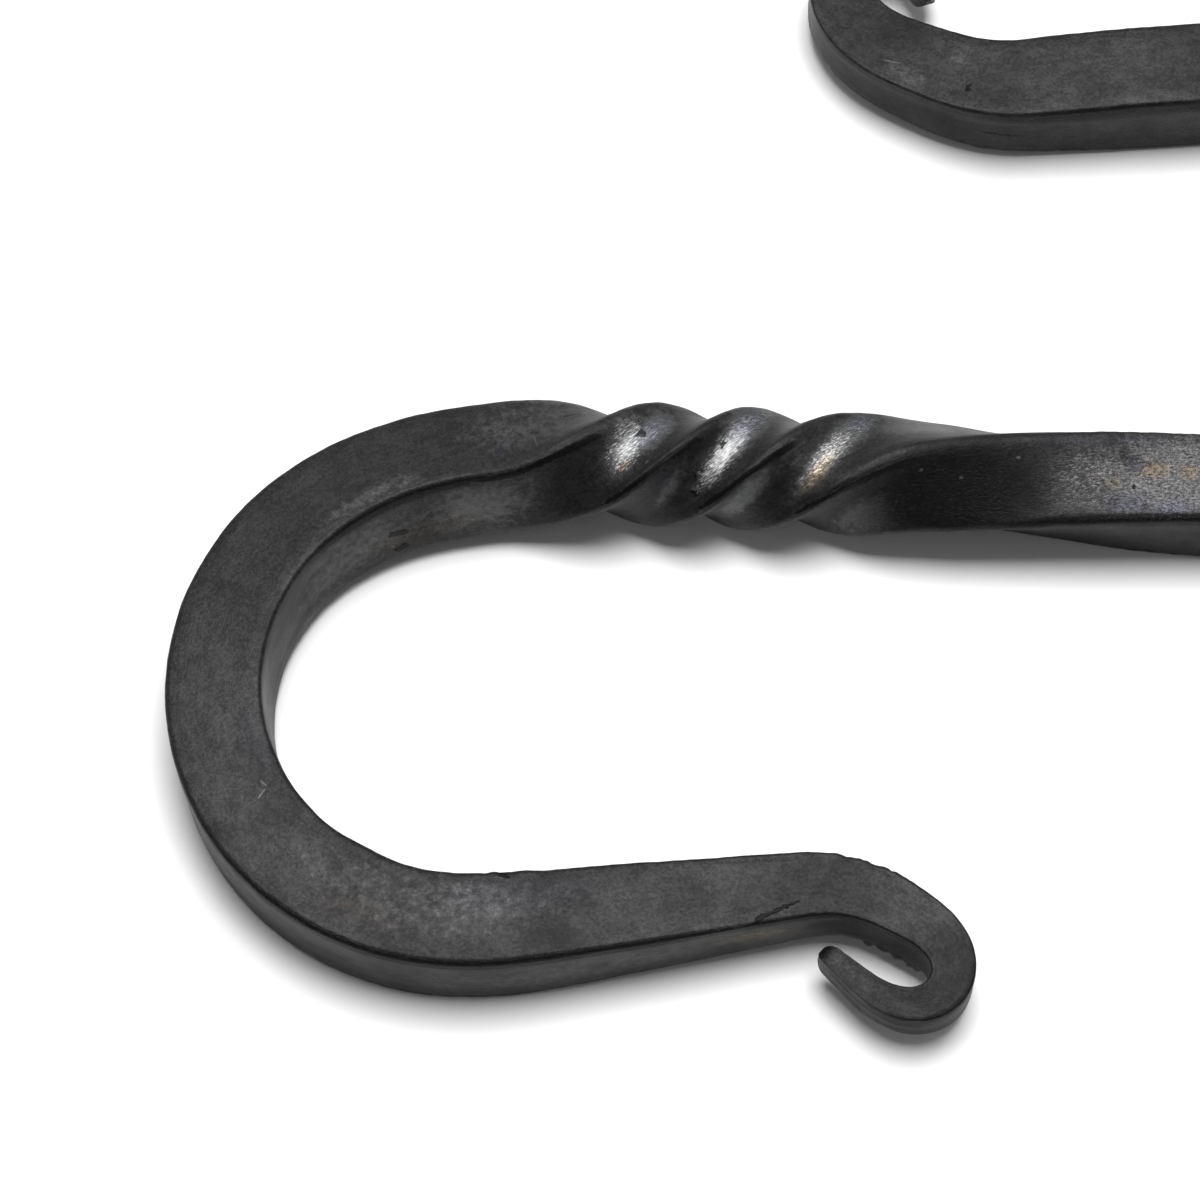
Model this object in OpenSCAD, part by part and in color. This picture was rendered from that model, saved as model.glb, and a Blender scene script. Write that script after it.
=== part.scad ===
// S hook forged from one length of square bar.
// The shank carries a left-hand twist and both ends turn through a wide bow
// into a drawn-out arm that finishes in a small outward scroll. The two ends
// were bent by eye and differ: the right arm is stouter and its scroll wider.
// The hook lies flat, +X runs along the shank and +Z is up. The left end is
// the one towards -X. The origin is under the middle of the whole hook, on the
// surface that the hook lies on.

/* [Bar] */
// Width across the flats of the square bar
bar = 8.4; // [6:0.1:9]
// Radius worn onto the four long corners of the bar
corner_radius = 0.8; // [0.3:0.1:1.6]

/* [Shank] */
// Straight length between the two bows
shank_length = 48; // [36:1:90]

/* [Twist] */
// Total angle that the bar is twisted by, end to end
twist_total = 360; // [180:90:720]
// Length of the tight part of the twist
twist_length = 38; // [28:1:60]
// Distance from the middle of the shank back to the middle of the tight part
twist_offset = 19; // [0:1:24]
// Angle that is gained slowly through the first bow
lead_in_angle = 26; // [0:1:40]
// Length over which the lead-in angle is gained
lead_in_length = 120; // [60:1:140]
// Distance from the middle of the shank back to the middle of the lead-in
lead_in_offset = 46; // [20:1:60]
// Angle that is gained after the tight part
run_out_angle = 98; // [20:1:120]
// Length over which the run-out angle is gained
run_out_length = 68; // [40:1:90]
// Distance from the middle of the shank back to the middle of the run-out
run_out_offset = 5; // [-20:1:20]

/* [Bows] */
// Radius of the left bow along the middle of the bar
left_bow_radius = 21; // [17:0.5:30]
// Angle that the left bow turns through
left_bow_turn = 191; // [180:1:196]
// Radius of the right bow along the middle of the bar
right_bow_radius = 20.4; // [17:0.1:30]
// Angle that the right bow turns through
right_bow_turn = 187; // [180:1:196]
// Length over which the straight shank eases into a bow
bow_ease_in_length = 31; // [6:1:40]
// Length over which a bow eases out into its arm
bow_ease_out_length = 14; // [4:1:24]

/* [Left arm and scroll] */
// Straight length of the arm between the bow and the scroll
left_arm_length = 17.8; // [8:0.1:40]
// Radius of the shoulder where the arm bends outward
left_shoulder_radius = 11.5; // [8:0.5:20]
// Angle of the shoulder bend
left_shoulder_turn = 38; // [20:1:50]
// Radius of the curl along the middle of the bar
left_curl_radius = 3.2; // [3:0.1:6]
// Angle that the curl turns back through
left_curl_turn = 193; // [140:1:198]
// Length over which the curl tightens to its full bend
left_curl_ease_in_length = 7.5; // [1:0.5:10]
// Length over which the curl opens again before the tip
left_curl_ease_out_length = 7.5; // [1:0.5:10]
// Straight length from the curl to the tip
left_tip_length = 3.5; // [1:0.5:6]

/* [Right arm and scroll] */
// Straight length of the arm between the bow and the scroll
right_arm_length = 20.4; // [8:0.1:40]
// Radius of the shoulder where the arm bends outward
right_shoulder_radius = 16.5; // [8:0.5:20]
// Angle of the shoulder bend
right_shoulder_turn = 28; // [20:1:50]
// Radius of the curl along the middle of the bar
right_curl_radius = 3.1; // [3:0.1:6]
// Angle that the curl turns back through
right_curl_turn = 228; // [180:1:236]
// Length over which the curl tightens to its full bend
right_curl_ease_in_length = 22; // [16:1:24]
// Length over which the curl opens again before the tip
right_curl_ease_out_length = 2; // [1:0.5:10]
// Straight length from the curl to the tip
right_tip_length = 2; // [1:0.5:6]

/* [Drawn-out ends] */
// Length over which each shoulder bend starts and stops
shoulder_ease_length = 2; // [1:0.5:6]
// Length over which the left end narrows, seen from above
left_narrowing_length = 58; // [40:1:80]
// How late the left narrowing gathers pace, 1 for an even taper
left_narrowing_power = 1.35; // [1:0.05:4]
// Width of the left tip, seen from above
left_tip_width = 1.5; // [0.8:0.1:3]
// Length over which the left end is hammered thinner
left_thinning_length = 54; // [30:1:80]
// How late the left thinning gathers pace, below 1 for early
left_thinning_power = 0.9; // [0.7:0.05:2]
// Length over which the right end narrows, seen from above
right_narrowing_length = 53; // [40:1:80]
// How late the right narrowing gathers pace, 1 for an even taper
right_narrowing_power = 2.8; // [1:0.05:4]
// Width of the right tip, seen from above
right_tip_width = 1.9; // [0.8:0.1:3]
// Length over which the right end is hammered thinner
right_thinning_length = 46; // [30:1:80]
// How late the right thinning gathers pace, below 1 for early
right_thinning_power = 1; // [0.7:0.05:2]
// Thickness of the bar at each tip
tip_thickness = 2.6; // [1.5:0.1:5]
// Length over which each tip is rounded off
tip_rounding = 1.2; // [0.4:0.1:2]

/* [Hidden] */

// The two ends, as places in the lists below
LEFT = 0;
RIGHT = 1;
ends = [LEFT, RIGHT];

// Values of the left and the right end
bow_radius = [left_bow_radius, right_bow_radius];
bow_turn = [left_bow_turn, right_bow_turn];
arm_length = [left_arm_length, right_arm_length];
shoulder_radius = [left_shoulder_radius, right_shoulder_radius];
shoulder_turn = [left_shoulder_turn, right_shoulder_turn];
curl_radius = [left_curl_radius, right_curl_radius];
curl_turn = [left_curl_turn, right_curl_turn];
curl_ease_in = [left_curl_ease_in_length, right_curl_ease_in_length];
curl_ease_out = [left_curl_ease_out_length, right_curl_ease_out_length];
tip_length = [left_tip_length, right_tip_length];
narrowing_length = [left_narrowing_length, right_narrowing_length];
narrowing_power = [left_narrowing_power, right_narrowing_power];
tip_width = [left_tip_width, right_tip_width];
thinning_length = [left_thinning_length, right_thinning_length];
thinning_power = [left_thinning_power, right_thinning_power];

// Spacing of the cross-sections along the shank and bows, and along the scrolls
body_step = 1.4;
scroll_step = 0.6;
// Cross-sections that round off a tip, and the angle where the small end face begins
tip_rings = 5;
tip_face_angle = 80;
// Points on each rounded corner of a cross-section, and round a whole one
corner_points = 4;
section_points = 4 * corner_points;

// Length of an eased bend, measured along the middle of the bar
function bend_length(radius, turn, ease_in, ease_out) =
    turn * PI / 180 * radius + (ease_in + ease_out) / 2;

// Places where each bend starts, measured from the middle of the shank to the tip
bow_start = shank_length / 2;
shoulder_start = [
    for (end = ends)
        bow_start + arm_length[end]
        + bend_length(bow_radius[end], bow_turn[end], bow_ease_in_length, bow_ease_out_length)
];
curl_start = [
    for (end = ends)
        shoulder_start[end]
        + bend_length(
            shoulder_radius[end], shoulder_turn[end], shoulder_ease_length, shoulder_ease_length
        )
];
end_length = [
    for (end = ends)
        curl_start[end] + tip_length[end]
        + bend_length(curl_radius[end], curl_turn[end], curl_ease_in[end], curl_ease_out[end])
];

// Angle turned by an eased bend after a length u: the curvature grows evenly
// over ease_in, stays at 1 / radius, and falls evenly over ease_out
function bend_angle(u, radius, turn, ease_in, ease_out) =
    let (
        length = bend_length(radius, turn, ease_in, ease_out),
        v = max(0, min(u, length)),
        round_end = length - ease_out,
        turned = v < ease_in ? v * v / (2 * ease_in)
            : v < round_end ? v - ease_in / 2
            : round_end + (ease_out - ease_in) / 2 - pow(length - v, 2) / (2 * ease_out)
    )
    turned / radius * 180 / PI;

// Direction of the bar towards a tip, at a distance from the middle of the shank
function heading(distance, end) =
    bend_angle(
        distance - bow_start,
        bow_radius[end], bow_turn[end], bow_ease_in_length, bow_ease_out_length
    )
    - bend_angle(
        distance - shoulder_start[end],
        shoulder_radius[end], shoulder_turn[end], shoulder_ease_length, shoulder_ease_length
    )
    - bend_angle(
        distance - curl_start[end],
        curl_radius[end], curl_turn[end], curl_ease_in[end], curl_ease_out[end]
    );

// Smooth step from 0 to 1 along a stretch with a given middle and length
function ramp(x, middle, length) =
    let (t = max(0, min((x - middle) / length + 0.5, 1)))
    t * t * (3 - 2 * t);

// Twist of the bar at a place along it, negative to the left of the middle of the shank
function twist(x) =
    lead_in_angle * ramp(x, -lead_in_offset, lead_in_length)
    + (twist_total - lead_in_angle - run_out_angle) * ramp(x, -twist_offset, twist_length)
    + run_out_angle * ramp(x, -run_out_offset, run_out_length);

// Share of a taper that is still to come at a distance from the tip
function taper(from_tip, length, power) =
    1 - pow(max(0, 1 - from_tip / length), power);

function section_width(from_tip, end) =
    tip_width[end]
    + (bar - tip_width[end]) * taper(from_tip, narrowing_length[end], narrowing_power[end]);

function section_thickness(from_tip, end) =
    tip_thickness
    + (bar - tip_thickness) * taper(from_tip, thinning_length[end], thinning_power[end]);

// Share of its size that a section keeps inside the rounded tip
function tip_share(from_tip) =
    from_tip >= tip_rounding ? 1 : sqrt(1 - pow(1 - from_tip / tip_rounding, 2));

// Height of the bar's middle line, so that its lowest corner meets the surface
function middle_height(twisted) =
    let (lean = min(twisted, twist_total - twisted, 45))
    (bar / 2 - corner_radius) * (cos(lean) + sin(lean)) + corner_radius;

// Distances from the middle of the shank to the cross-sections of one end
function stations(end) =
    let (
        scroll_start = shoulder_start[end],
        scroll_length = end_length[end] - tip_rounding - scroll_start,
        body_rings = ceil(scroll_start / body_step),
        scroll_rings = ceil(scroll_length / scroll_step)
    )
    concat(
        [for (i = [0 : body_rings - 1]) scroll_start * i / body_rings],
        [for (i = [0 : scroll_rings]) scroll_start + scroll_length * i / scroll_rings],
        [for (i = [1 : tip_rings])
            end_length[end] - tip_rounding * (1 - sin(tip_face_angle * i / tip_rings))]
    );

// Middle line of one end through its stations, from the middle of the shank to the tip
function middle_line(places, end) = [
    for (
        i = 0, point = [0, 0];
        i < len(places);
        i = i + 1,
        length = i < len(places) ? places[i] - places[i - 1] : 0,
        angle = i < len(places) ? heading((places[i] + places[i - 1]) / 2, end) : 0,
        point = point + length * [cos(angle), sin(angle)]
    )
    point
];

// Rounded rectangle that is the bar's cross-section, as a ring of points
function section(width, thickness, radius) = [
    for (corner = [0 : 3], i = [0 : corner_points - 1])
        let (
            angle = 90 * (corner + i / (corner_points - 1)),
            side = corner == 0 || corner == 3 ? 1 : -1,
            level = corner < 2 ? 1 : -1
        )
        [
            side * (width / 2 - radius) + radius * cos(angle),
            level * (thickness / 2 - radius) + radius * sin(angle)
        ]
];

// Cross-section of one end at a distance from the middle of the shank. The left
// end is laid out like the right one and then turned half a turn.
function ring(distance, point, end) =
    let (
        turn = end == LEFT ? -1 : 1,
        from_tip = end_length[end] - distance,
        share = tip_share(from_tip),
        width = share * section_width(from_tip, end),
        thickness = share * section_thickness(from_tip, end),
        radius = corner_radius * min(width, thickness) / bar,
        twisted = twist(turn * distance),
        angle = heading(distance, end),
        middle = turn * point,
        height = middle_height(twisted)
    )
    [
        for (p = section(width, thickness, radius))
            let (
                across = p.x * cos(twisted) + p.y * sin(twisted),
                up = p.y * cos(twisted) - p.x * sin(twisted)
            )
            [middle.x - across * sin(angle), middle.y + across * cos(angle), height + up]
    ];

// Cross-sections of one end, from the middle of the shank to the tip
function rings(end) =
    let (
        places = stations(end),
        line = middle_line(places, end)
    )
    [for (i = [0 : len(places) - 1]) ring(places[i], line[i], end)];

// Middle of the range that a list of values covers
function middle_of(values) = (min(values) + max(values)) / 2;

// The whole bar, swept through its cross-sections from the left tip to the right one
module s_hook() {
    left_rings = rings(LEFT);
    right_rings = rings(RIGHT);
    bar_rings = concat([for (i = [len(left_rings) - 1 : -1 : 1]) left_rings[i]], right_rings);
    last = len(bar_rings) - 1;
    points = [for (r = bar_rings, p = r) p];
    skin = [
        for (i = [0 : last - 1], j = [0 : section_points - 1])
            let (
                k = (j + 1) % section_points,
                here = i * section_points,
                next = here + section_points
            )
            [here + j, next + j, next + k, here + k]
    ];
    first_face = [for (j = [0 : section_points - 1]) j];
    last_face = [for (j = [section_points - 1 : -1 : 0]) last * section_points + j];
    color([0.16, 0.16, 0.17])
        translate([-middle_of([for (p = points) p.x]), -middle_of([for (p = points) p.y]), 0])
            polyhedron(
                points = points,
                faces = concat(skin, [first_face, last_face]),
                convexity = 8
            );
}

s_hook();
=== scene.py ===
"""The forged S hook's looks: its skin, its blackened steel, the floor, the light and the camera.

The CAD node gives the bar's cross-sections. This script reads them off the frame, sweeps a finer
skin through them, and works the smith's marks into that skin, along with painted highlights and
shade. Lengths on the hook are in millimetres. A place on the bar is (along, round): along runs
along the bar from the middle of the shank, below 0 towards the left hook, and round runs round it.
The middles of the four faces are at 0, 8, 16 and 24, and the corners lie halfway between them.
Face 16 is the top of both hooks.
"""

import math

import bpy
import numpy as np
from mathutils import Matrix, Vector, noise


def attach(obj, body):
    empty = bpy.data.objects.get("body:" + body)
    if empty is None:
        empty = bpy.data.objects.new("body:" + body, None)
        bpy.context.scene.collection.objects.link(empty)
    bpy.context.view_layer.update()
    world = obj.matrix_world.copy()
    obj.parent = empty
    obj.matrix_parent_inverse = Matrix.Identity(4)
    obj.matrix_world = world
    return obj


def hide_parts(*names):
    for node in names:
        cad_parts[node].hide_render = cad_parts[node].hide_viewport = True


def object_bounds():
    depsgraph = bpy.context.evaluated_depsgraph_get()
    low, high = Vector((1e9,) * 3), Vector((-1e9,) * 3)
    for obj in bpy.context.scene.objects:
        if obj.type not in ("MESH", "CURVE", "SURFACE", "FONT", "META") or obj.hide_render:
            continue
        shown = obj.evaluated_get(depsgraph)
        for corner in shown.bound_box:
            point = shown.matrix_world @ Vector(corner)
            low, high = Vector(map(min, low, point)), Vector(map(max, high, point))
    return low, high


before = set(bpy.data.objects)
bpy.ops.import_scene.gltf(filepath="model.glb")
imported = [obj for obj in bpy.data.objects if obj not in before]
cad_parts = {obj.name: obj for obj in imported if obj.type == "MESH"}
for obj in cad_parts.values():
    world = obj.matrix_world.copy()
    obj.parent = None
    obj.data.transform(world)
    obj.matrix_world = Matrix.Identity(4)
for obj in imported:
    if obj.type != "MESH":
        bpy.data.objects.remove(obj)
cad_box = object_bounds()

MM = 0.001

# CAD points are one point when they agree to this many steps of a millimetre
MATCHING_STEPS = 10000
# Half length of the stretch of shank in which the middle cross-section is looked for
MIDDLE_REACH = 3
# A face is at least this many times wider than the steps of a rounded corner
FACE_TO_STEP = 3

# Fineness of the skin
RING_SPACING = 0.3
FACE_STEPS = 14
CORNER_STEPS = 6
# How far the face's steps are crowded towards its corners
CORNER_CROWDING = 0.08
CAD_CORNER_POINTS = 4
# Millimetres of the skin's map that each side of the bar takes, and its rounded corner's share
SIDE_SPAN = 8
CORNER_SHARE = 0.155
# Half width of the strip along X that holds the shank and no other part of the bar
SHANK_REACH = 20

# Hammered surface: the length over which it rises and falls, and how far
HAMMERING = ((8.0, 0.05), (2.6, 0.02))
# Wear of the four corners: depth, length over which it comes and goes, reach to each side
CORNER_WEAR = ((0.08, 3.0, 0.8), (0.08, 0.9, 0.8))
# Corners left crisp away from the twist: height and reach to each side
CRISP_CORNER = (0.19, 0.6)
# Corners rubbed rounder along the twist: depth, reach to each side, where it is, and how it fades
TWIST_WEAR = (0.15, 1.7)
TWIST_FROM, TWIST_TO, TWIST_EASE = -31, -2, 5
# How far past the right end of the twist the crisp corners begin, and how they fade in
CRISP_MARGIN = 8
CRISP_EASE = 12
# Low ridge that the hammer raised beside every corner: height, distance from it, reach across, and
# the length over which it comes and goes
LIP = (0.045, 1.25, 0.9, 5.0)
# Torn edges: from, to, the corner, how deep the tears are and how long each is
TORN_EDGES = (
    (-143.5, -138.5, 20, 0.13, 0.7),
    (-152, -142.5, 4, 0.5, 0.8),
    (-114, -109, 20, 0.10, 0.9),
)
TORN_REACH = 1.2
TORN_EASE = 1.5
# Moves from one kind of random relief to the next, so that no two kinds repeat each other
WEAR_SHIFT, LIP_SHIFT, TORN_SHIFT = 50, 90, 130
# Swellings left by the hammer: (along, round, half length, half width, lean, height)
SWELLINGS = (
    (-34.5, 13.5, 8.0, 4.0, 0.0, 0.26),
    (-26.0, 21.0, 4.0, 3.0, 0.0, 0.30),
    (-17.0, -3.0, 4.0, 3.0, 0.0, 0.12),
    (-144.0, 22.0, 9.0, 5.0, 0.0, 0.18),
    (-62.0, 8.0, 22.0, 5.5, 0.0, -0.20),
    (-96.0, 21.5, 7.0, 4.0, 0.0, 0.28),
    (-146.5, 4.5, 8.0, 4.5, 0.0, 0.25),
    (138.0, 12.0, 5.0, 3.0, 0.0, 0.18),
)

# Colours of the finish and its painted light and shade. Where there are two, a texture mixes them.
SCALE_COLOURS = ((0.0128, 0.0127, 0.0135, 1), (0.0305, 0.0296, 0.0302, 1))
# The wax, haze and rubbed steel colours are lightened as painted sheen, glints and highlights
WAX_AND_SHEEN_COLOURS = ((0.026, 0.026, 0.028, 1), (0.17, 0.167, 0.171, 1))
HAZE_COLOURS = ((0.042, 0.043, 0.044, 1), (0.15, 0.152, 0.155, 1))
RUBBED_HIGHLIGHT_COLOURS = ((0.17, 0.172, 0.175, 1), (0.46, 0.46, 0.45, 1))
RIPPLE_GLINT_COLOUR = (0.16, 0.153, 0.145, 1)
# Black for the painted shade rims beside the creases, and for soot, creases and painted shade
RIM_SHADE_COLOUR = (0.009, 0.009, 0.009, 1)
SOOT_AND_SHADE_COLOUR = (0.0035, 0.0035, 0.004, 1)
SCRATCH_COLOUR = (0.14, 0.135, 0.12, 1)
# Tints that multiply the colour under them
GOLDEN_TINT = (1.3, 1.06, 0.8, 1)
BLUISH_TINT = (0.97, 1.0, 1.13, 1)
# The steel's gloss, and the fine relief of its bump, with its distance in millimetres
METALLIC = 0.85
ROUGHNESS = (0.45, 0.54)
BUMP_STRENGTH = 0.75
BUMP_DISTANCE = 0.065

# Half width of the floor, in metres, and its colour
FLOOR_REACH = 12
FLOOR_COLOUR = (0.85, 0.85, 0.85, 1)

# Softbox over the hook: its distance in metres, its lean beyond the hook and to the right in
# degrees, its size in metres and its power in watts
KEY_DISTANCE = 1.2
KEY_LEAN = 10.5
KEY_TURN = 1
KEY_SIZE = (0.62, 0.56)
KEY_POWER = 18.5
# Brightness of the room behind the camera and beyond the hook, and what is added towards the walls
# at both ends of the hook, from the given share of the way out
ROOM_NEAR = 0.16
ROOM_FAR = 0.85
ROOM_ENDS = 0.35
ROOM_ENDS_FROM = 0.5

# Camera: its place as shares of the hook's length, its turn and tilt in degrees
CAMERA_TARGET = (-0.2158, -0.1037)
CAMERA_DISTANCE = 3.3451
CAMERA_TURN = 2.76
CAMERA_ELEVATION = 66.16
CAMERA_LENS = 147
CAMERA_SENSOR = 36


# ---------------------------------------------------------------- the bar, as the frame gives it

def frame_mesh(node):
    """The distinct points of a CAD node, in millimetres, and the set of neighbours of each."""
    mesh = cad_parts[node].data
    points = np.zeros(len(mesh.vertices) * 3, np.float32)
    mesh.vertices.foreach_get("co", points)
    keys = np.round(points.reshape(-1, 3).astype(float) / MM * MATCHING_STEPS).astype(np.int64)
    distinct, index = np.unique(keys, axis=0, return_inverse=True)
    index = index.reshape(-1)
    neighbours = [set() for _ in distinct]
    for polygon in mesh.polygons:
        corners = [index[v] for v in polygon.vertices]
        for a, b in zip(corners, corners[1:] + corners[:1]):
            neighbours[a].add(b)
            neighbours[b].add(a)
    return distinct / MATCHING_STEPS, neighbours


def in_order(ring, points, before):
    """The points of a ring in turn about the bar, each beside its like in the ring before."""
    here = points[ring]
    centre, old_centre = here.mean(0), before.mean(0)
    tangent = np.linalg.svd(here - centre)[2][2]
    first = (before[0] - old_centre) - ((before[0] - old_centre) @ tangent) * tangent
    first /= np.linalg.norm(first)
    second = np.cross(tangent, first)
    turn = np.arctan2((here - centre) @ second, (here - centre) @ first)
    here = here[np.argsort(turn)]
    best = None
    for order in (here, here[::-1]):
        for shift in range(len(ring)):
            moved = np.roll(order, shift, axis=0)
            error = (((moved - centre) - (before - old_centre)) ** 2).sum()
            if best is None or error < best[0]:
                best = (error, moved)
    return best[1]


def walk(ring, ordered, points, neighbours, ahead):
    """The rings from the middle of the shank to one tip, each in order.

    ahead is 1 towards +X and -1 towards -X."""
    rings, seen = [], set(ring)
    start = points[ring[0]][0]
    following = {
        n for v in ring for n in neighbours[v]
        if n not in seen and (points[n][0] - start) * ahead > 0
    }
    while following:
        ring = sorted(following)
        ordered = in_order(ring, points, ordered)
        rings.append(ordered)
        seen.update(ring)
        following = {n for v in ring for n in neighbours[v] if n not in seen}
    return rings


def middle_ring(points):
    """The cross-section of the straight shank that is nearest the middle of the hook."""
    inner = [
        i for i, p in enumerate(points)
        if abs(p[0]) < MIDDLE_REACH and abs(p[1]) < SHANK_REACH
    ]
    places = {}
    for i in inner:
        places.setdefault(round(points[i][0], 2), []).append(i)
    whole = [x for x, ring in places.items() if len(ring) == 4 * CAD_CORNER_POINTS]
    return places[min(whole, key=abs)]


def sections(node):
    """Every cross-section of the bar, from the left tip to the right tip."""
    points, neighbours = frame_mesh(node)
    middle = middle_ring(points)
    here = points[middle]
    turn = np.arctan2(here[:, 2] - here[:, 2].mean(), here[:, 1] - here[:, 1].mean())
    here = here[np.argsort(turn)]
    gaps = np.linalg.norm(here - np.roll(here, 1, axis=0), axis=1)
    start = next(
        i for i in range(len(gaps)) if gaps[i] > FACE_TO_STEP * gaps[(i + 1) % len(gaps)]
    )
    here = np.roll(here, -start, axis=0)
    left = walk(middle, here, points, neighbours, -1)
    right = walk(middle, here, points, neighbours, 1)
    return np.array(left[::-1] + [here] + right), len(left)


def bar_line(rings, middle):
    """For each section its centre, two half axes, corner radius and place along the bar."""
    corners = rings.reshape(len(rings), 4, CAD_CORNER_POINTS, 3)
    radius = np.linalg.norm(corners[:, :, 0] - corners[:, :, -1], axis=2).mean(1) / math.sqrt(2)
    outer = corners.mean(2)
    centre = outer.mean(1)
    across = (outer[:, 0] + outer[:, 3] - outer[:, 1] - outer[:, 2]) / 4
    up = (outer[:, 0] + outer[:, 1] - outer[:, 2] - outer[:, 3]) / 4
    half_axes = []
    for axis in (across, up):
        unit = axis / np.linalg.norm(axis, axis=1)[:, None]
        reach = ((rings - centre[:, None]) * unit[:, None]).sum(2).max(1)
        half_axes.append(unit * reach[:, None])
    step = np.linalg.norm(np.diff(centre, axis=0), axis=1)
    along = np.concatenate([[0], np.cumsum(step)])
    return centre, *half_axes, radius, along - along[middle]


def smooth_between(place, known, values):
    """Values at each place on the curve that runs smoothly through the known ones."""
    slope = np.gradient(values, known, axis=0)
    i = np.clip(np.searchsorted(known, place, side="right") - 1, 0, len(known) - 2)
    gap = known[i + 1] - known[i]
    t = (place - known[i]) / gap
    if values.ndim == 2:
        t, gap = t[:, None], gap[:, None]
    return (
        (1 + 2 * t) * (1 - t) ** 2 * values[i]
        + t * (1 - t) ** 2 * gap * slope[i]
        + t * t * (3 - 2 * t) * values[i + 1]
        - t * t * (1 - t) * gap * slope[i + 1]
    )


# ---------------------------------------------------------------- the skin

def section_plan():
    """For each point round a section: the corner it turns with, its angle there, its share of the
    way over the face that follows, and its place round the bar."""
    plan = []
    for side in range(4):
        for i in range(CORNER_STEPS):
            share = i / CORNER_STEPS
            plan.append((side, 90 * (side + share), 0, side + CORNER_SHARE * share))
        for i in range(FACE_STEPS):
            share = i / FACE_STEPS
            share -= CORNER_CROWDING * math.sin(2 * math.pi * share)
            place = side + CORNER_SHARE + (1 - CORNER_SHARE) * share
            plan.append((side, 90 * (side + 1), share, place))
    first_face_middle = (1 + CORNER_SHARE) / 2
    return [
        (side, angle, share, SIDE_SPAN * (place - first_face_middle))
        for side, angle, share, place in plan
    ]


def skin_points(line):
    """Rings of points on the bar, their outward directions, and their places along and round it."""
    centre, across, up, radius, along = line
    stations = []
    for a, b in zip(along[:-1], along[1:]):
        parts = math.ceil((b - a) / RING_SPACING)
        stations += [a + (b - a) * i / parts for i in range(parts)]
    stations = np.array(stations + [along[-1]])
    centre, across, up = (smooth_between(stations, along, v) for v in (centre, across, up))
    radius = smooth_between(stations, along, radius)
    half_width = np.linalg.norm(across, axis=1)
    half_height = np.linalg.norm(up, axis=1)
    across, up = across / half_width[:, None], up / half_height[:, None]
    points, outward, around = [], [], []
    signs = ((1, 1), (-1, 1), (-1, -1), (1, -1))
    for side, degrees, share, place in section_plan():
        angle = math.radians(degrees)
        corner, after = signs[side], signs[(side + 1) % 4]
        x, y = ((1 - share) * corner[k] + share * after[k] for k in (0, 1))
        x = x * (half_width - radius) + radius * math.cos(angle)
        y = y * (half_height - radius) + radius * math.sin(angle)
        points.append(centre + across * x[:, None] + up * y[:, None])
        outward.append(across * math.cos(angle) + up * math.sin(angle))
        around.append(place)
    return np.stack(points, 1), np.stack(outward, 1), stations, np.array(around)


def ripple(points, length):
    """Smooth random heights from -1 to 1 over the points, in bumps of about the given length."""
    heights = [noise.noise(Vector(p) / length) for p in points.reshape(-1, 3)]
    return np.array(heights).reshape(points.shape[:-1])


def turn_from(around, place):
    """Signed distance round the bar from a place, by the shorter way."""
    return (around - place + 2 * SIDE_SPAN) % (4 * SIDE_SPAN) - 2 * SIDE_SPAN


def corner_offset(around):
    """Signed distance round the bar from the nearest corner."""
    return (around % SIDE_SPAN) - SIDE_SPAN / 2


def hump(distance, reach):
    """1 at no distance, falling smoothly to 0 at the reach on both sides."""
    return 0.5 + 0.5 * np.cos(np.pi * np.clip(distance / reach, -1, 1))


def stretch_of(stations, start, end, ease):
    """1 on the stretch of bar from start to end, falling smoothly to 0 over ease beyond it."""
    outside = np.maximum(np.maximum(start - stations, stations - end), 0)
    return hump(outside, ease)


def skin_depth(points, stations, around):
    """How deep the forged surface lies under the plain bar, at each point."""
    depth = np.zeros(points.shape[:2])
    for length, height in HAMMERING:
        depth -= height * ripple(points, length)
    gap = np.abs(corner_offset(around))
    for wear, length, reach in CORNER_WEAR:
        depth += wear * hump(gap, reach) * (0.5 + 0.5 * ripple(points + WEAR_SHIFT, length))
    wear, reach = TWIST_WEAR
    twisted = stretch_of(stations, TWIST_FROM, TWIST_TO, TWIST_EASE)[:, None]
    depth += wear * hump(gap, reach) * twisted
    height, place, reach, length = LIP
    depth -= height * hump(gap - place, reach) * (0.6 + 0.8 * ripple(points + LIP_SHIFT, length))
    for start, end, corner, deep, length in TORN_EDGES:
        beside = hump(np.abs(turn_from(around, corner)), TORN_REACH)
        beside = beside * stretch_of(stations, start, end, TORN_EASE)[:, None]
        depth += deep * beside * np.clip(2 * ripple(points + TORN_SHIFT, length), -0.6, 1)
    height, reach = CRISP_CORNER
    plain = 1 - stretch_of(stations, TWIST_FROM, TWIST_TO + CRISP_MARGIN, CRISP_EASE)[:, None]
    depth -= height * hump(gap, reach) * plain
    depth -= spots(stations, around, SWELLINGS)
    return depth


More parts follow.
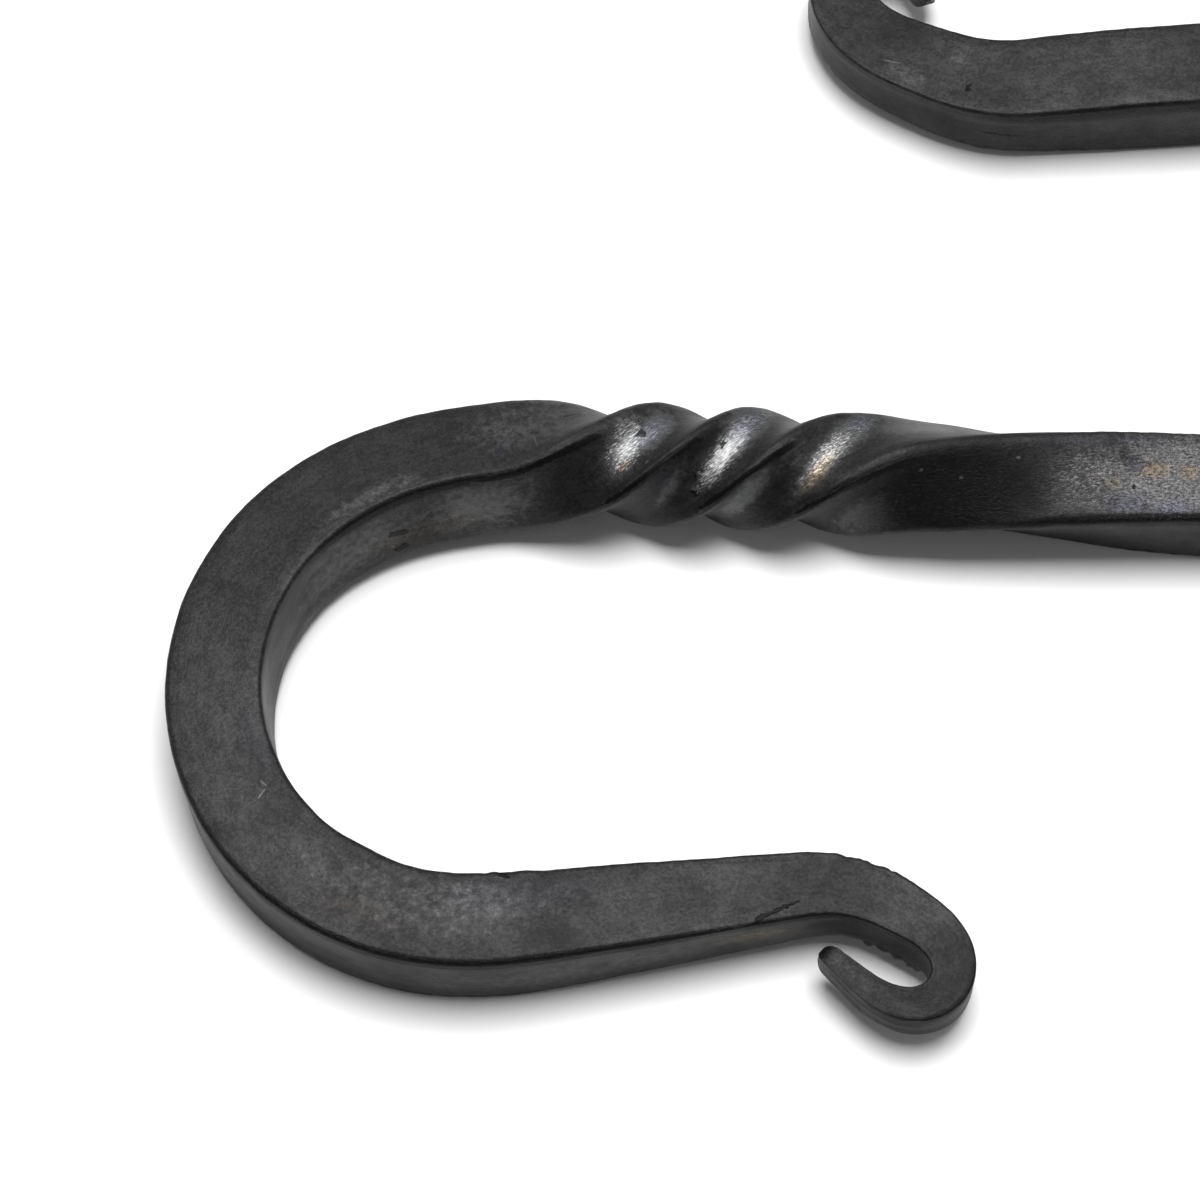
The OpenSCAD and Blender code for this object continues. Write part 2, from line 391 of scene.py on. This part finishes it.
def build_skin(name):
    """The hook's visible piece, kept inside the CAD box."""
    points, outward, stations, around = skin_points(bar_line(*sections("s_hook")))
    rings, sides = points.shape[:2]
    co = points - outward * skin_depth(points, stations, around)[:, :, None]
    low, high = (np.array(corner) for corner in cad_box)
    co = np.clip(co.reshape(-1, 3) * MM, low, high)
    i, j = np.meshgrid(np.arange(rings - 1), np.arange(sides), indexing="ij")
    k = (j + 1) % sides
    quads = np.stack([i * sides + j, (i + 1) * sides + j, (i + 1) * sides + k, i * sides + k], -1)
    faces = [list(map(int, q)) for q in quads.reshape(-1, 4)]
    faces.append(list(range(sides)))
    faces.append([(rings - 1) * sides + s for s in range(sides - 1, -1, -1)])
    mesh = bpy.data.meshes.new(name)
    mesh.from_pydata([tuple(p) for p in co], [], faces)
    mesh.polygons.foreach_set("use_smooth", [True] * len(mesh.polygons))
    map_skin(mesh, stations, around)
    paint_zones(mesh, stations, around)
    piece = bpy.data.objects.new(name, mesh)
    bpy.context.scene.collection.objects.link(piece)
    return piece


def map_skin(mesh, stations, around):
    """A UV map in millimetres: U along the bar and V round it."""
    sides = len(around)
    rings = len(stations)
    turns = np.append(around, around[0] + 4 * SIDE_SPAN)
    i, j = np.meshgrid(np.arange(rings - 1), np.arange(sides), indexing="ij")
    u = np.stack([stations[i], stations[i + 1], stations[i + 1], stations[i]], -1)
    v = np.stack([turns[j], turns[j], turns[j + 1], turns[j + 1]], -1)
    uv = np.stack([u, v], -1).reshape(-1, 2)
    first = np.stack([np.full(sides, stations[0]), turns[:-1]], -1)
    last = np.stack([np.full(sides, stations[-1]), turns[:-1]], -1)[::-1]
    layer = mesh.uv_layers.new(name="bar")
    uv = np.concatenate([uv, first, last]).reshape(-1)
    layer.uv.foreach_set("vector", uv.astype(np.float32))


# Zones of the finish and of its painted light and shade. A spot is (along, round, half length,
# half width, lean, strength), where lean is how far the spot moves along the bar for each
# millimetre round it. A strength over 1 gives the spot a flat top.
# Rubbed steel on the crowns of the twist, with painted highlights: the spots lie where the faces
# catch the softbox
RUBBED_AND_HIGHLIT = (
    (-26.4, 23.5, 2.5, 3.5, 0.05, 0.95),
    (-17.5, -0.3, 3.3, 3.6, -0.72, 1.08),
    (-8.7, 8.0, 3.3, 2.9, -0.75, 0.75),
    (-23.8, 23.8, 2.2, 2.4, 0.0, 0.38),
    (-15.4, -1.6, 2.6, 2.8, -0.4, 0.42),
    (-6.2, 6.4, 2.6, 2.2, -0.4, 0.36),
)
# Rubbed haze, with painted sheen round the highlights of the twist
RUBBED_HAZE_AND_SHEEN = (
    (-23.9, 23.4, 3.0, 3.8, 0.0, 1.0),
    (-26.4, 23.3, 3.6, 4.6, 0.05, 0.7),
    (-15.7, -2.0, 4.0, 5.6, -0.3, 1.12),
    (-17.8, -0.2, 3.8, 4.6, -0.85, 0.7),
    (-6.5, 6.6, 4.2, 4.2, -0.4, 0.9),
    (-8.8, 8.2, 4.4, 4.0, -0.9, 0.7),
    (-1.0, 6.6, 7.0, 4.2, 0.0, 1.1),
    (-131.0, 8.6, 7.0, 2.8, 0.0, 0.5),
    (-22.4, -0.6, 1.9, 2.6, -0.5, 0.8),
    (-16.2, 6.8, 3.6, 3.6, -0.4, 1.0),
    (-4.9, 17.2, 5.4, 3.4, 0.0, 1.0),
    (-12.2, 6.0, 2.4, 2.6, 0.0, 0.5),
    (-40.0, 24.0, 10.0, 5.5, 0.0, 0.72),
    (-34.0, 15.5, 11.0, 6.5, 0.0, 0.46),
    (-54.0, 24.0, 16.0, 5.5, 0.0, 0.55),
    (-116.0, 8.0, 28.0, 5.5, 0.0, 0.40),
    (-103.0, 17.0, 28.0, 6.0, 0.0, 0.30),
    (-50.0, 18.7, 12.0, 1.5, 0.0, 0.5),
    (145.2, 13.7, 4.0, 1.6, 0.0, 0.38),
    (141.6, 17.2, 1.8, 1.4, 0.0, 0.38),
    (-162.0, 16.0, 5.0, 5.0, 0.0, 0.25),
)
# Wax on the right of the shank, lighter as painted sheen where its top face catches the light
WAX_AND_PAINTED_SHEEN = (
    (22.0, 16.2, 13.0, 7.0, 0.0, 1.0),
    (32.0, 16.2, 14.0, 7.0, 0.0, 1.0),
)
# Crinkled wax whose ripple crests are painted lighter, as painted glints
CRINKLE_GLINTS = (
    (13.8, 16.0, 5.0, 4.4, 0.0, 1.0),
    (20.0, 16.0, 8.0, 4.4, 0.0, 0.45),
)
# Soot and black scale, with painted shade: the dark bands along the corners that face the camera
# are painted shade, and the darker face just right of the twist is black scale deepened by painted
# shade
SOOT_AND_SHADE = (
    (2.0, 16.5, 14.0, 7.5, 0.0, 1.0),
    (-29.6, 23.8, 3.0, 3.0, 0.0, 0.45),
    (-20.8, -0.6, 1.6, 3.6, -0.6, 0.35),
    (-12.4, 7.2, 1.8, 4.5, -0.5, 0.5),
    (-145.5, 8.2, 13.0, 4.8, 0.0, 2.2),
    (-160.5, 22.4, 8.0, 1.8, 0.0, 2.0),
    (-154.0, 20.8, 8.0, 1.8, 0.0, 2.0),
    (18.0, 20.1, 24.0, 1.1, 0.0, 1.6),
    (-48.0, 20.3, 15.0, 0.8, 0.0, 1.6),
    (-110.0, 11.8, 46.0, 0.8, 0.0, 1.6),
    (128.0, 11.2, 18.0, 1.3, 0.0, 1.5),
    (142.0, 8.5, 18.0, 5.0, 0.0, 0.45),
    (-20.4, -0.2, 1.2, 2.0, 0.0, 0.4),
)
WARM = (
    (19.6, 15.4, 2.4, 1.4, 0.0, 1.0),
    (22.6, 15.6, 2.0, 1.2, 0.0, 0.9),
    (16.0, 16.5, 1.2, 1.0, 0.0, 0.8),
    (-9.8, 9.3, 2.6, 2.6, -0.6, 0.8),
    (-26.6, 25.3, 1.0, 0.9, 0.0, 1.0),
    (-131.0, 8.6, 8.0, 3.2, 0.0, 1.0),
    (-46.0, 25.5, 14.0, 3.4, 0.0, 0.5),
    (-98.0, 15.0, 10.0, 3.0, 0.0, 0.35),
)
COOL = (
    (17.0, 18.4, 4.0, 1.6, 0.0, 1.0),
    (21.2, 19.0, 3.2, 1.4, 0.0, 1.0),
    (17.6, 14.8, 1.6, 1.4, 0.0, 0.9),
    (14.0, 12.6, 12.0, 1.2, 0.0, 0.7),
    (-24.2, 23.6, 3.0, 3.2, 0.0, 0.8),
    (-16.0, -1.6, 2.6, 3.6, 0.0, 0.8),
    (-6.0, 6.0, 2.2, 1.6, 0.0, 1.0),
    (-37.5, 17.7, 1.4, 1.4, 0.0, 0.9),
    (-22.8, -2.1, 1.4, 1.8, 0.0, 0.9),
    (-112.0, 18.0, 14.0, 3.0, 0.0, 0.5),
    (-80.0, 19.0, 10.0, 3.0, 0.0, 0.4),
)
# Creases folded into the corners, each a line of (along, round), with a dark rim on one side. The
# black line is partly crease and partly painted shade, and the dark rim is painted shade
CREASES_AND_SHADE = (
    ((-41.0, 20.4), (-37.6, 20.5), (-33.9, 20.6), (-30.4, 21.0), (-28.2, 21.4)),
    ((-29.0, -4.5), (-26.7, -4.3), (-23.4, -4.0), (-21.7, -3.5), (-19.6, -2.8)),
    ((-20.5, 3.2), (-18.1, 3.6), (-16.4, 3.9), (-14.7, 4.5), (-11.3, 5.3)),
    ((-12.0, 11.4), (-9.4, 12.0), (-7.7, 12.6), (-4.3, 13.1), (-2.0, 13.2), (3.0, 13.4)),
)
CREASE_REACH = 0.75
RIM_OFFSET = -0.8
RIM_REACH = 0.45
# How a crease tapers at each end: where it begins to fade, and over what length
CREASE_MARGIN = 2
CREASE_EASE = 3
# Strokes of the finish: (along, round) of both ends and half width. Cracks and pits are dark;
# scratches and specks are light.
DARK_STROKES = (
    (-127.6, 11.9, -130.6, 11.9, 0.25),
    (-130.6, 11.9, -131.6, 12.8, 0.25),
    (-131.4, 12.6, -133.8, 13.5, 0.18),
    (-133.4, 13.5, -134.8, 13.8, 0.11),
    (-49.0, 24.5, -47.5, 24.9, 0.34),
    (-48.6, 26.9, -47.7, 26.7, 0.34),
    (-31.8, 15.5, -30.4, 15.3, 0.14),
    (-25.3, 23.0, -25.0, 23.4, 0.22),
    (-20.6, -0.5, -20.3, 0.1, 0.14),
    (-20.5, 1.2, -20.1, 1.9, 0.16),
    (-18.1, -1.1, -18.0, -0.8, 0.12),
    (15.95, 16.5, 16.15, 16.6, 0.15),
    (17.7, 16.9, 17.8, 16.95, 0.10),
    (18.8, 18.7, 18.9, 18.7, 0.09),
    (-110.6, 19.6, -110.0, 20.0, 0.22),
    (140.0, 14.0, 139.9, 14.7, 0.10),
    (138.2, 7.7, 135.8, 7.5, 0.22),
)
DARK_SMUDGES = (
    (-114.6, 13.6, -113.0, 13.9, 1.0),
    (-155.5, 13.4, -151.0, 14.6, 1.8),
    (-152.6, 18.0, -151.5, 18.4, 1.6),
    (147.0, 18.2, 148.4, 17.8, 1.4),
    (17.0, 14.3, 18.0, 15.0, 0.5),
    (-20.2, -3.0, -19.6, -2.4, 0.8),
)
LIGHT_STROKES = (
    (-34.4, 17.2, -34.15, 18.6, 0.05),
    (-84.9, 17.1, -84.5, 17.9, 0.06),
    (-84.2, 18.2, -83.6, 18.0, 0.06),
    (7.55, 14.0, 7.65, 14.0, 0.12),
    (-0.85, 14.2, -0.75, 14.2, 0.11),
    (2.65, 15.3, 2.75, 15.3, 0.11),
    (-24.6, 26.5, -24.5, 26.6, 0.09),
    (146.4, 14.5, 147.6, 14.1, 0.05),
    (15.6, 16.4, 16.4, 16.8, 0.30),
)


def spots(stations, around, places):
    """Strength of a list of soft spots at each point of the skin."""
    total = np.zeros((len(stations), len(around)))
    for along, middle, length, width, lean, strength in places:
        turn = turn_from(around, middle)[None, :]
        run = stations[:, None] - along - lean * turn
        total = np.maximum(total, strength * hump(np.hypot(run / length, turn / width), 1))
    return total


def creased_and_shaded(stations, around):
    """1 in the creases and their painted shade, -1 on the painted shade rims beside them, 0
    elsewhere.
    """
    total = np.zeros((len(stations), len(around)))
    for line in CREASES_AND_SHADE:
        along, middle = np.array(line).T
        follows = smooth_between(np.clip(stations, along[0], along[-1]), along, middle)
        gap = turn_from(around[None, :], follows[:, None])
        first, last = along[0] + CREASE_MARGIN, along[-1] - CREASE_MARGIN
        present = stretch_of(stations, first, last, CREASE_EASE)[:, None]
        total += present * (hump(gap, CREASE_REACH) - hump(gap - RIM_OFFSET, RIM_REACH))
    return np.clip(total, -1, 1)


def paint_zones(mesh, stations, around):
    """Mesh attributes that tell the steel where each finish, painted highlight and painted shade
    lies, and how strong it is.
    """
    zones = {
        "rubbed_highlights": RUBBED_AND_HIGHLIT,
        "haze_and_sheen": RUBBED_HAZE_AND_SHEEN,
        "sheen": WAX_AND_PAINTED_SHEEN,
        "crinkle_glints": CRINKLE_GLINTS,
        "soot_and_shade": SOOT_AND_SHADE,
        "warm": WARM,
        "cool": COOL,
    }
    zones = {name: spots(stations, around, places) for name, places in zones.items()}
    zones["crease"] = creased_and_shaded(stations, around)
    for name, strength in zones.items():
        layer = mesh.attributes.new(name, "FLOAT", "POINT")
        layer.data.foreach_set("value", strength.reshape(-1).astype(np.float32))


# ---------------------------------------------------------------- materials

class Paint:
    """Short names for the nodes of one material."""

    def __init__(self, name):
        self.material = bpy.data.materials.new(name)
        self.material.use_nodes = True
        self.tree = self.material.node_tree
        self.shader = self.tree.nodes["Principled BSDF"]

    def node(self, kind, inputs, **settings):
        made = self.tree.nodes.new(kind)
        for name, value in settings.items():
            setattr(made, name, value)
        for socket, value in inputs.items():
            if isinstance(value, bpy.types.NodeSocket):
                self.tree.links.new(value, made.inputs[socket])
            else:
                made.inputs[socket].default_value = value
        return made

    def calc(self, operation, a, b=0.0, c=0.0):
        return self.node("ShaderNodeMath", {0: a, 1: b, 2: c}, operation=operation).outputs[0]

    def step(self, value, low, high, start=0.0, end=1.0):
        """A smooth step from start to end as the value goes from low to high."""
        made = self.node("ShaderNodeMapRange", {
            "Value": value, "From Min": low, "From Max": high, "To Min": start, "To Max": end,
        }, interpolation_type="SMOOTHSTEP")
        return made.outputs[0]

    def vector(self, operation, inputs, output=0):
        return self.node("ShaderNodeVectorMath", inputs, operation=operation).outputs[output]

    def stretch(self, vector, factors):
        return self.vector("MULTIPLY", {0: vector, 1: factors})

    def noise(self, vector, scale, detail=2.0, roughness=0.5, distortion=0.0):
        made = self.node("ShaderNodeTexNoise", {
            "Vector": vector, "Scale": scale, "Detail": detail,
            "Roughness": roughness, "Distortion": distortion,
        })
        return made.outputs["Fac"]

    def roughen(self, value, texture, weight):
        """The value, raised and lowered by a texture."""
        return self.calc("MULTIPLY_ADD", self.calc("ADD", texture, -0.5), weight, value)

    def broken(self, strength, texture, weight):
        """A zone's strength, 0 to 1, with its edge broken up by a texture."""
        inside = self.step(self.roughen(strength, texture, weight), 0.12, 0.88)
        return self.calc("MULTIPLY", inside, self.step(strength, 0, 0.25))

    def blend(self, a, b, share):
        return self.calc("MULTIPLY_ADD", a, 1 - share, self.calc("MULTIPLY", b, share))

    def zone(self, name):
        return self.node("ShaderNodeAttribute", {}, attribute_name=name).outputs["Fac"]

    def hair(self, bar):
        """Fine crossed scratches, 0 to 1."""
        strands = []
        for turn in (30, -45, 80):
            turned = self.node("ShaderNodeMapping", {
                "Vector": bar, "Rotation": (0, 0, math.radians(turn)), "Scale": (2.0, 8.5, 1),
            }).outputs[0]
            strands.append(self.noise(turned, 1.0, detail=3, roughness=0.65, distortion=0.5))
        strongest = self.calc("MAXIMUM", self.calc("MAXIMUM", strands[0], strands[1]), strands[2])
        return self.step(strongest, 0.5, 0.7)

    def shaken(self, bar, place, scale, reach):
        """The map, pushed about at random, so that the strokes on it run unevenly."""
        random = self.node("ShaderNodeTexNoise", {"Vector": place, "Scale": scale, "Detail": 3})
        random = self.vector("ADD", {0: random.outputs["Color"], 1: (-0.5, -0.5, -0.5)})
        return self.vector("MULTIPLY_ADD", {0: random, 1: (reach, reach, 0), 2: bar})

    def stroke(self, bar, stroke, softness):
        """1 on a straight stroke over the map, falling to 0 at softness times its half width."""
        a, b, half_width = Vector((*stroke[0:2], 0)), Vector((*stroke[2:4], 0)), stroke[4]
        run = (b - a) / (b - a).length_squared
        share = self.vector("DOT_PRODUCT", {0: bar, 1: run}, "Value")
        share = self.node(
            "ShaderNodeMath", {0: share, 1: -a.dot(run)}, operation="ADD", use_clamp=True
        ).outputs[0]
        nearest = self.vector("SCALE", {0: b - a, "Scale": share})
        nearest = self.vector("ADD", {0: nearest, 1: a})
        gap = self.vector("DISTANCE", {0: bar, 1: nearest}, "Value")
        return self.step(gap, half_width / softness, half_width * softness, 1, 0)

    def strokes(self, bar, strokes, softness):
        total = self.stroke(bar, strokes[0], softness)
        for stroke in strokes[1:]:
            total = self.calc("MAXIMUM", total, self.stroke(bar, stroke, softness))
        return total

    def mix(self, factor, a, b, blend="MIX"):
        made = self.node(
            "ShaderNodeMix", {0: factor, 6: a, 7: b}, data_type="RGBA", blend_type=blend
        )
        return made.outputs[2]

    def tint(self, factor, colour, tint):
        """The colour multiplied by a tint, as far as the factor says."""
        return self.mix(factor, colour, self.mix(1.0, colour, tint, "MULTIPLY"))

    def set(self, socket, value):
        if isinstance(value, bpy.types.NodeSocket):
            self.tree.links.new(value, self.shader.inputs[socket])
        else:
            self.shader.inputs[socket].default_value = value


def steel():
    """Forged steel under a waxed black scale, rubbed bright on the crowns of the twist, with
    painted highlights, sheen, glints and shade in its colour.
    """
    paint = Paint("blackened_steel")
    place = paint.node("ShaderNodeTexCoord", {}).outputs["Object"]
    place = paint.stretch(place, (1 / MM, 1 / MM, 1 / MM))
    bar = paint.node("ShaderNodeUVMap", {}, uv_map="bar").outputs["UV"]
    names = ("rubbed_highlights", "haze_and_sheen", "sheen", "crinkle_glints", "soot_and_shade", "warm", "cool", "crease")
    rubbed_highlights, haze_and_sheen, sheen, crinkle_glints, soot_and_shade, warm, cool, crease = (paint.zone(name) for name in names)

    patches = paint.noise(place, 0.75, detail=4, roughness=0.62)
    streaks = paint.noise(paint.stretch(bar, (0.5, 1.7, 1)), 1.0, detail=4, roughness=0.62)
    clouds = paint.noise(place, 0.2, detail=2)
    grain = paint.noise(place, 3.4, detail=4, roughness=0.8)
    ragged = paint.noise(place, 1.4, detail=4, roughness=0.7)
    leather = paint.stretch(bar, (2.7, 6.4, 1))
    leather = paint.noise(leather, 1.0, detail=2, roughness=0.6, distortion=0.9)
    hair = paint.hair(bar)
    shaken = paint.shaken(bar, place, scale=2.2, reach=0.7)

    # The scale, and over it the wax with painted sheen and glints, the rubbed haze with painted
    # sheen, and the rubbed steel with painted highlights
    mottle = paint.roughen(paint.blend(patches, streaks, 0.45), grain, 1.3)
    colour = paint.mix(paint.step(mottle, 0.28, 0.74), *SCALE_COLOURS)
    # Wax, with painted sheen that is lighter on the crests of its texture
    wax_and_sheen_colour = paint.mix(paint.step(paint.blend(leather, grain, 0.65), 0.36, 0.64), *WAX_AND_SHEEN_COLOURS)
    colour = paint.mix(paint.broken(sheen, ragged, 0.9), colour, wax_and_sheen_colour)
    # Painted glints on the crests of the wax's ripples
    ripple_glints = paint.calc("MULTIPLY", crinkle_glints, paint.step(leather, 0.48, 0.66))
    colour = paint.mix(paint.calc("MULTIPLY", ripple_glints, 0.7), colour, RIPPLE_GLINT_COLOUR)
    # Rubbed haze and painted sheen
    haze_and_sheen_colour = paint.mix(paint.blend(hair, grain, 0.6), *HAZE_COLOURS)
    colour = paint.mix(paint.broken(haze_and_sheen, ragged, 1.3), colour, haze_and_sheen_colour)
    # Rubbed steel and painted highlights on the crowns of the twist
    rubbed_highlight_colour = paint.mix(hair, *RUBBED_HIGHLIGHT_COLOURS)
    worn_and_highlit = paint.broken(rubbed_highlights, paint.blend(hair, ragged, 0.4), 1.1)
    colour = paint.mix(paint.calc("POWER", worn_and_highlit, 1.4), colour, rubbed_highlight_colour)
    colour = paint.tint(paint.broken(warm, grain, 1.4), colour, GOLDEN_TINT)
    colour = paint.tint(paint.broken(cool, grain, 1.4), colour, BLUISH_TINT)

    # Creases with their painted shade and rims of painted shade, cracks, soot and painted shade,
    # and scratches
    ragged_lines = paint.roughen(paint.calc("ABSOLUTE", crease), ragged, 1.6)
    ragged_lines = paint.step(ragged_lines, 0.34, 0.6)
    # Painted shade: a darker rim beside each crease, over the corner's highlight
    rim_shade = paint.calc("MULTIPLY", ragged_lines, paint.step(crease, -0.3, 0, 1, 0))
    colour = paint.mix(paint.calc("MULTIPLY", rim_shade, 0.5), colour, RIM_SHADE_COLOUR)
    # The black crease lines, partly crease and partly painted shade, and the dark cracks
    creases_cracks_and_shade = paint.calc("MULTIPLY", ragged_lines, paint.step(crease, 0, 0.3))
    creases_cracks_and_shade = paint.calc("MAXIMUM", creases_cracks_and_shade, paint.strokes(shaken, DARK_STROKES, 1.5))
    # Painted glints: the soot and painted shade are lighter on the crests of the ripples
    shine = paint.step(leather, 0.5, 0.72)
    soot_and_shade_depth = paint.calc("MULTIPLY_ADD", shine, -0.4, 0.96)
    black = paint.calc("MULTIPLY", paint.step(soot_and_shade, 0.1, 0.8), soot_and_shade_depth)
    smudges = paint.strokes(shaken, DARK_SMUDGES, 2.5)
    black = paint.calc("MAXIMUM", black, paint.calc("MULTIPLY", smudges, 0.45))
    black = paint.calc("MAXIMUM", black, paint.calc("MULTIPLY", creases_cracks_and_shade, 0.88))
    # Soot, cracks, creases and painted shade blacken the colour here
    colour = paint.mix(black, colour, SOOT_AND_SHADE_COLOUR)
    scratches = paint.strokes(bar, LIGHT_STROKES, 1.6)
    colour = paint.mix(paint.calc("MULTIPLY", scratches, 0.4), colour, SCRATCH_COLOUR)

    paint.set("Base Color", colour)
    paint.set("Metallic", METALLIC)
    roughness = paint.step(clouds, 0.35, 0.65, *ROUGHNESS)
    paint.set("Roughness", paint.calc("MULTIPLY_ADD", rubbed_highlights, -0.05, roughness))

    # Fine relief, strongest under the wax and the soot and painted shade, and cut in at the creases
    waxy = paint.step(paint.calc("MAXIMUM", sheen, soot_and_shade), 0, 0.6, 0.2, 1)
    height = paint.calc("MULTIPLY_ADD", patches, 1.0, paint.calc("MULTIPLY", grain, 0.8))
    height = paint.calc("MULTIPLY_ADD", paint.calc("MULTIPLY", leather, waxy), 1.9, height)
    height = paint.calc("MULTIPLY_ADD", creases_cracks_and_shade, -1.4, height)
    bump = paint.node("ShaderNodeBump", {
        "Strength": BUMP_STRENGTH, "Distance": BUMP_DISTANCE * MM, "Height": height,
    })
    paint.set("Normal", bump.outputs[0])
    return paint.material


def floor_paint():
    material = bpy.data.materials.new("floor_paint")
    material.use_nodes = True
    shader = material.node_tree.nodes["Principled BSDF"]
    shader.inputs["Base Color"].default_value = FLOOR_COLOUR
    shader.inputs["Roughness"].default_value = 0.9
    shader.inputs["Specular IOR Level"].default_value = 0
    return material


# ---------------------------------------------------------------- stage

def add_floor():
    mesh = bpy.data.meshes.new("floor")
    signs = ((-1, -1), (1, -1), (1, 1), (-1, 1))
    corners = [(x * FLOOR_REACH, y * FLOOR_REACH, 0) for x, y in signs]
    mesh.from_pydata(corners, [], [(0, 1, 2, 3)])
    floor = bpy.data.objects.new("floor", mesh)
    bpy.context.scene.collection.objects.link(floor)
    floor.data.materials.append(floor_paint())


def add_light():
    lamp = bpy.data.lights.new("softbox", "AREA")
    lamp.shape = "RECTANGLE"
    lamp.size, lamp.size_y = KEY_SIZE
    lamp.energy = KEY_POWER
    key = bpy.data.objects.new("softbox", lamp)
    lean, turn = math.radians(KEY_LEAN), math.radians(KEY_TURN)
    up = Vector((math.sin(turn), math.sin(lean), math.cos(lean))).normalized()
    facing = up.to_track_quat("Z", "Y").to_matrix().to_4x4()
    key.matrix_world = Matrix.Translation(up * KEY_DISTANCE) @ facing
    bpy.context.scene.collection.objects.link(key)
    bpy.context.scene.world = room()
    bpy.context.scene.view_settings.view_transform = "Standard"


def room():
    """A dim room, dark behind the camera and pale beyond the hook and at both its ends."""
    world = bpy.data.worlds.new("studio")
    world.use_nodes = True
    tree = world.node_tree
    place = tree.nodes.new("ShaderNodeTexCoord")
    axes = tree.nodes.new("ShaderNodeSeparateXYZ")
    tree.links.new(place.outputs["Generated"], axes.inputs[0])
    sideways = tree.nodes.new("ShaderNodeMath")
    sideways.operation = "ABSOLUTE"
    tree.links.new(axes.outputs["X"], sideways.inputs[0])
    slopes = (
        (axes.outputs["Y"], 0, ROOM_NEAR, ROOM_FAR),
        (sideways.outputs[0], ROOM_ENDS_FROM, 0, ROOM_ENDS),
    )
    parts = []
    for side, start, near, far in slopes:
        slope = tree.nodes.new("ShaderNodeMapRange")
        slope.interpolation_type = "SMOOTHSTEP"
        limits = {"From Min": start, "From Max": 1, "To Min": near, "To Max": far}
        for name, value in limits.items():
            slope.inputs[name].default_value = value
        tree.links.new(side, slope.inputs["Value"])
        parts.append(slope.outputs[0])
    total = tree.nodes.new("ShaderNodeMath")
    tree.links.new(parts[0], total.inputs[0])
    tree.links.new(parts[1], total.inputs[1])
    background = tree.nodes["Background"]
    background.inputs["Color"].default_value = (1, 1, 1, 1)
    tree.links.new(total.outputs[0], background.inputs["Strength"])
    return world


def add_camera():
    low, high = cad_box
    length = high.x - low.x
    turn, tilt = math.radians(CAMERA_TURN), math.radians(CAMERA_ELEVATION)
    target = Vector((CAMERA_TARGET[0] * length, CAMERA_TARGET[1] * length, 0))
    flat = math.cos(tilt)
    ahead = Vector((-math.sin(turn) * flat, math.cos(turn) * flat, -math.sin(tilt)))
    right = Vector((math.cos(turn), math.sin(turn), 0))
    data = bpy.data.cameras.new("camera")
    data.lens = CAMERA_LENS
    data.sensor_width = CAMERA_SENSOR
    data.clip_start, data.clip_end = 0.01, 100
    camera = bpy.data.objects.new("camera", data)
    place = target - ahead * CAMERA_DISTANCE * length
    axes = Matrix((right, right.cross(ahead), -ahead)).transposed().to_4x4()
    camera.matrix_world = Matrix.Translation(place) @ axes
    bpy.context.scene.collection.objects.link(camera)
    bpy.context.scene.camera = camera


hook = build_skin("forged_hook")
hook.data.materials.append(steel())
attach(hook, "root")
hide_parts("s_hook")
add_floor()
add_light()
add_camera()

bpy.context.view_layer.update()
